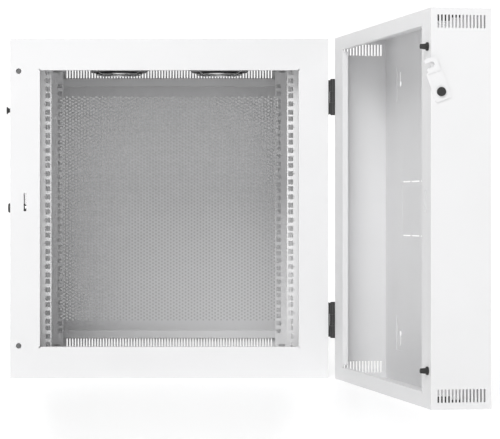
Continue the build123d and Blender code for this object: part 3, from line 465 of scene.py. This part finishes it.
def boxes(spans):
    points = []
    faces = []
    for x0, x1, y0, y1, z0, z1 in spans:
        start = len(points)
        points += [(x, y, z) for x in (x0, x1) for y in (y0, y1) for z in (z0, z1)]
        for quad in ((0, 1, 3, 2), (4, 6, 7, 5), (0, 4, 5, 1), (2, 3, 7, 6), (0, 2, 6, 4), (1, 5, 7, 3)):
            faces.append([start + index for index in quad])
    return points, faces


def soften(piece, width, segments=2):
    modifier = piece.modifiers.new("folded_edges", "BEVEL")
    modifier.width = width
    modifier.segments = segments
    modifier.limit_method = "ANGLE"
    modifier.angle_limit = math.radians(FOLD_ANGLE)
    modifier.harden_normals = False


# Round wires, fans and screws

def turned(profile, sides, closed=False):
    """A profile of radius and height turned about the vertical; a radius of 0 is a pole."""
    points = []
    rows = []
    for radius, height in profile:
        start = len(points)
        if radius == 0:
            rows.append([start] * sides)
            points.append(Vector((0, 0, height)))
            continue
        rows.append(list(range(start, start + sides)))
        for step in range(sides):
            angle = 2 * math.pi * step / sides
            points.append(Vector((radius * math.cos(angle), radius * math.sin(angle), height)))
    faces = []
    pairs = list(zip(rows, rows[1:]))
    if closed:
        pairs.append((rows[-1], rows[0]))
    for lower, upper in pairs:
        for step in range(sides):
            after = (step + 1) % sides
            loop = (lower[step], lower[after], upper[after], upper[step])
            faces.append(tuple(dict.fromkeys(loop)))
    return points, faces


def wire(path, radius, closed=False, sides=8):
    """A round wire along a path."""
    path = [Vector(point) for point in path]
    last = len(path) - 1
    points = []
    normal = None
    for index, centre in enumerate(path):
        before = path[index - 1] if index or closed else centre
        after = path[(index + 1) % len(path)] if index < last or closed else centre
        along = (after - before).normalized()
        normal = normal or along.orthogonal()
        normal = (normal - along * normal.dot(along)).normalized()
        side = along.cross(normal)
        for step in range(sides):
            angle = 2 * math.pi * step / sides
            points.append(centre + radius * (math.cos(angle) * normal + math.sin(angle) * side))
    faces = []
    for ring in range(len(path) if closed else last):
        a, b = ring * sides, (ring + 1) % len(path) * sides
        for step in range(sides):
            after = (step + 1) % sides
            faces.append((a + step, a + after, b + after, b + step))
    if not closed:
        faces.append(tuple(range(sides))[::-1])
        faces.append(tuple(range(last * sides, last * sides + sides)))
    return points, faces


def circle(x, y, z, radius, steps=64):
    angles = [2 * math.pi * step / steps for step in range(steps)]
    return [(x + radius * math.cos(angle), y + radius * math.sin(angle), z) for angle in angles]


def moved(part, matrix):
    points, faces = part
    return [matrix @ point for point in points], faces


def merged(name, parts, body, slot, material, *nodes):
    """One smooth piece made of several parts, standing for its CAD nodes."""
    points = []
    faces = []
    for part_points, part_faces in parts:
        start = len(points)
        points += part_points
        faces += [tuple(start + index for index in face) for face in part_faces]
    piece = mesh_piece(name, points, faces)
    piece.data.shade_smooth()
    piece.data.set_sharp_from_angle(angle=math.radians(SHARP_ANGLE))
    coat(piece, material)
    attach(piece, body)
    if nodes:
        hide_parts(*nodes)


def fan_guard(hand, material):
    low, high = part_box("fan_guard_" + hand)
    x, y = (low.x + high.x) / 2, (low.y + high.y) / 2
    flat = low.z + WIRE_R
    top = high.z - WIRE_R
    reach = FAN_SCREW_OFFSET * math.sqrt(2) - GUARD_EYE
    slope = (top - flat) / (reach - GUARD_RINGS[0])
    parts = [wire(circle(x, y, flat + WIRE_STEP, radius), WIRE_R, True) for radius in GUARD_RINGS]
    rim = flat + WIRE_STEP + slope * (GUARD_RIM - GUARD_RINGS[0])
    parts.append(wire(circle(x, y, rim, GUARD_RIM), WIRE_R, True))
    for turn in (45, 135):
        u, v = math.cos(math.radians(turn)), math.sin(math.radians(turn))
        stops = ((-reach, top), (-GUARD_RINGS[0], flat), (GUARD_RINGS[0], flat), (reach, top))
        parts.append(wire([(x + u * along, y + v * along, z) for along, z in stops], WIRE_R))
    for i in (-1, 1):
        for j in (-1, 1):
            eye = circle(x + i * FAN_SCREW_OFFSET, y + j * FAN_SCREW_OFFSET, top, GUARD_EYE, EYE_STEPS)
            parts.append(wire(eye, WIRE_R, True))
    merged("fan_guard_wires_" + hand, parts, "main_section", "guard_wire", material, "fan_guard_" + hand)


def fan_inlet(hand, material):
    """The black tapered ring under the housing, inside the guard's dish."""
    low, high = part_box("fan_frame_" + hand)
    seat = low.z
    profile = (
        (INLET_NARROW, seat - INLET_DROP),
        (INLET_WIDE, seat - INLET_SEAT),
        (INLET_RIM, seat - INLET_SEAT),
        (INLET_RIM, seat),
        (INLET_WIDE - INLET_WALL, seat),
        (INLET_NARROW - INLET_WALL, seat - INLET_DROP + INLET_WALL / 2),
    )
    place = Matrix.Translation(((low.x + high.x) / 2, (low.y + high.y) / 2, 0))
    ring = moved(turned(profile, INLET_SIDES, True), place)
    merged("fan_inlet_" + hand, [ring], "main_section", "fan_plastic", material)


def fan_blade(middle, turn):
    rows, columns = 7, 9
    points = []
    for side in (-1, 1):
        for row in range(rows):
            u = row / (rows - 1)
            radius = BLADE_ROOT + u * (BLADE_TIP - BLADE_ROOT)
            chord = BLADE_CHORD[0] + u * (BLADE_CHORD[1] - BLADE_CHORD[0])
            tilt = math.radians(BLADE_TILT[0] + u * (BLADE_TILT[1] - BLADE_TILT[0]))
            for column in range(columns):
                s = column / (columns - 1) - 0.5
                height = s * chord * math.sin(tilt) + BLADE_CAMBER * (1 - 4 * s * s)
                angle = turn + s * chord * math.cos(tilt) / radius + BLADE_SKEW * u
                points.append(Vector((radius * math.cos(angle), radius * math.sin(angle),
                                      middle + height + side * BLADE_HALF)))
    faces = []
    top = rows * columns
    for row in range(rows - 1):
        for column in range(columns - 1):
            a = row * columns + column
            loop = (a, a + columns, a + columns + 1, a + 1)
            faces.append(loop[::-1])
            faces.append(tuple(top + index for index in loop))
    edge = [row * columns for row in range(rows)]
    edge += [(rows - 1) * columns + column for column in range(1, columns)]
    edge += [row * columns + columns - 1 for row in range(rows - 2, -1, -1)]
    edge += list(range(columns - 2, 0, -1))
    for a, b in zip(edge, edge[1:] + edge[:1]):
        faces.append((a, b, top + b, top + a))
    return points, faces


def fan_rotor(hand, material):
    low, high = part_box("fan_rotor_" + hand)
    top = low.z + HUB_HEIGHT
    end = high.z - SHAFT_GAP
    rounded = [(HUB_R - inset, low.z + rise) for inset, rise in HUB_ROUND]
    hub = [(0, low.z), *rounded, (HUB_R, top), (SHAFT_R, top), (SHAFT_R, end), (0, end)]
    parts = [turned(hub, HUB_SIDES)]
    for index in range(BLADES):
        parts.append(fan_blade((low.z + top) / 2, 2 * math.pi * index / BLADES))
    # Seven blades make the rotor's own box lopsided, so the axis comes from the housing
    frame_low, frame_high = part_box("fan_frame_" + hand)
    place = Matrix.Translation(((frame_low.x + frame_high.x) / 2, (frame_low.y + frame_high.y) / 2, 0))
    body = "fan_rotor_" + hand
    parts = [moved(part, place) for part in parts]
    merged("fan_impeller_" + hand, parts, body, "fan_plastic", material, body)


def screw_head(radius, height):
    """A domed head on its seat at height 0, with a cross recess."""
    arm, half = CROSS_ARM * radius, CROSS_HALF * radius
    mid = (arm + half) / 2
    tip = ((half, -half), (mid, -half), (arm, -half), (arm, 0), (arm, half), (mid, half))
    cross = []
    for quarter in range(4):
        turn = Matrix.Rotation(math.radians(90 * quarter), 3, "Z")
        cross += [turn @ Vector((along, across, 0)) for along, across in tip]
    sides = len(cross)
    points = []
    for ring_radius, level in HEAD_RINGS:
        for step in range(sides):
            angle = 2 * math.pi * step / sides - math.pi / 4
            x, y = ring_radius * radius * math.cos(angle), ring_radius * radius * math.sin(angle)
            points.append(Vector((x, y, level * height)))
    for shrink, level in CROSS_RINGS:
        points += [Vector((shrink * point.x, shrink * point.y, level * height)) for point in cross]
    faces = [tuple(range(sides))[::-1]]
    last = len(HEAD_RINGS) + len(CROSS_RINGS) - 1
    for row in range(last):
        for step in range(sides):
            after = (step + 1) % sides
            a, b = row * sides, (row + 1) * sides
            faces.append((a + step, a + after, b + after, b + step))
    faces.append(tuple(range(last * sides, (last + 1) * sides)))
    return points, faces


def screw(head, shank_r, tail, nut, nut_at):
    """A screw along +Z from its head's seat, with a nut at a depth below the seat."""
    nut_r, nut_height = nut
    nut_end = -nut_at - nut_height
    shank = ((0, -tail), (shank_r, -tail), (shank_r, 0), (0, 0))
    hexagon = ((0, nut_end), (nut_r, nut_end), (nut_r, -nut_at), (0, -nut_at))
    return [screw_head(*head), turned(shank, SHANK_SIDES), turned(hexagon, 6)]


def fan_screws(hand, material):
    low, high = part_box("fan_screws_" + hand)
    x, y = (low.x + high.x) / 2, (low.y + high.y) / 2
    seat = high.z - FAN_HEAD[1]
    tail = seat - low.z
    parts = []
    for i in (-1, 1):
        for j in (-1, 1):
            place = Matrix.Translation((x + i * FAN_SCREW_OFFSET, y + j * FAN_SCREW_OFFSET, seat))
            screws = screw(FAN_HEAD, FAN_SCREW_R, tail, FAN_NUT, tail - FAN_NUT[1])
            parts += [moved(part, place) for part in screws]
    merged("fan_screw_set_" + hand, parts, "main_section", "zinc_steel", material, "fan_screws_" + hand)


def leaf_screws(node, body, turn, side, material):
    """The screws of a section's hinge leaves, which lie on a plane through the swing axis."""
    swing = Matrix.Rotation(math.radians(turn), 4, "Z")
    axis = swing @ Vector((1, 0, 0))
    aim = axis.to_track_quat("Z", "Y").to_matrix().to_4x4()
    offset = swing @ Vector((-KNUCKLE_R, side * LEAF_OUT, 0))
    parts = []
    for level in ("lower", "upper"):
        low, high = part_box("hinge_pin_" + level)
        for shift in (-LEAF_SPREAD, LEAF_SPREAD):
            place = Matrix.Translation((low + high) / 2 + offset + Vector((0, 0, shift))) @ aim
            screws = screw(LEAF_HEAD, LEAF_SCREW_R, LEAF_SCREW_TAIL, LEAF_NUT, LEAF_NUT[1])
            parts += [moved(part, place) for part in screws]
    merged(node + "_crossed", parts, body, "black_metal", material, node)


def add_details(materials):
    for hand in ("left", "right"):
        fan_guard(hand, materials["guard_wire"])
        fan_inlet(hand, materials["fan_plastic"])
        fan_rotor(hand, materials["fan_plastic"])
        fan_screws(hand, materials["zinc_steel"])
    leaf_screws("hinge_screws_main", "main_section", 0, 1, materials["black_metal"])
    leaf_screws("hinge_screws_wall", "wall_section", SWING_OPEN, -1, materials["black_metal"])


# Camera, stage and light

def make_camera():
    low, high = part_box("rear_frame")
    middle = (low.z + high.z) / 2
    data = bpy.data.cameras.new("camera")
    data.sensor_fit = "HORIZONTAL"
    data.sensor_width = SENSOR
    data.lens = FOCAL_PIXELS / IMAGE_WIDTH * SENSOR
    data.shift_x = (IMAGE_WIDTH / 2 - AXIS_PIXEL[0]) / IMAGE_WIDTH
    data.shift_y = (AXIS_PIXEL[1] - IMAGE_HEIGHT / 2) / IMAGE_WIDTH
    data.clip_end = CAMERA_REACH
    camera = bpy.data.objects.new("camera", data)
    bpy.context.scene.collection.objects.link(camera)
    camera.location = (0, low.y - CAMERA_BACK, middle + CAMERA_RISE)
    camera.rotation_euler = (math.radians(90), 0, 0)
    bpy.context.scene.camera = camera


def area_light(name, location, target, size, power):
    data = bpy.data.lights.new(name, "AREA")
    data.shape = "RECTANGLE"
    data.size = size[0]
    data.size_y = size[1]
    data.energy = power
    light = bpy.data.objects.new(name, data)
    bpy.context.scene.collection.objects.link(light)
    light.location = location
    light.rotation_euler = (Vector(target) - Vector(location)).to_track_quat("-Z", "Y").to_euler()


def make_stage():
    half = FLOOR_HALF
    square = [(-half, -half, 0), (half, -half, 0), (half, half, 0), (-half, half, 0)]
    floor = mesh_piece("floor", square, [(0, 1, 2, 3)])
    floor.location.z = cad_bounds[0][2] - FLOOR_DROP
    coat(floor, white_sweep())


def make_world():
    """White all round, brightest beyond the object and dimmer on the camera's side."""
    world = bpy.data.worlds.new("studio")
    world.use_nodes = True
    tree = world.node_tree
    background = tree.nodes["Background"]
    coords = tree.nodes.new("ShaderNodeTexCoord")
    split = tree.nodes.new("ShaderNodeSeparateXYZ")
    tree.links.new(coords.outputs["Generated"], split.inputs["Vector"])
    level = tree.nodes.new("ShaderNodeMapRange")
    level.inputs["From Min"].default_value = WORLD_TURN[0]
    level.inputs["From Max"].default_value = WORLD_TURN[1]
    level.inputs["To Min"].default_value = WORLD_NEAR
    level.inputs["To Max"].default_value = WORLD_FAR
    tree.links.new(split.outputs["Y"], level.inputs["Value"])
    tree.links.new(level.outputs["Result"], background.inputs["Strength"])
    background.inputs["Color"].default_value = (1, 1, 1, 1)
    bpy.context.scene.world = world


def make_light():
    area_light("key", KEY_AT, LIGHT_AIM, KEY_SIZE, KEY_WATTS)
    area_light("fill", FILL_AT, LIGHT_AIM, FILL_SIZE, FILL_WATTS)
    area_light("top", TOP_AT, TOP_AIM, TOP_SIZE, TOP_WATTS)
    settings = bpy.context.scene.view_settings
    settings.view_transform = "Standard"
    settings.look = "None"


def dress():
    materials = make_materials()
    slots = {entry["node"]: entry["material_slot"] for entry in frame["record"]["subparts"]}
    for name, node in frame["nodes"].items():
        # The photograph's hinge barrels are black all through, so their zinc pins look black too
        look = "black_metal" if name.startswith("hinge_pin") else slots[name]
        coat(node, materials[look])
    low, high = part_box("door_perforated_panel")
    panel = perforated_sheet("door_perforation", low, high)
    coat(panel, materials["sheet_paint"])
    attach(panel, "front_door")
    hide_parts("door_perforated_panel")
    add_liner(panel, materials["sheet_paint"], low, high)
    add_dust_mesh(materials["dust_mesh"])
    add_details(materials)
    for name, node in frame["nodes"].items():
        if slots[name] in ("sheet_paint", "rail_paint"):
            soften(node, FOLD_RADIUS)


make_camera()
make_stage()
make_world()
make_light()
dress()
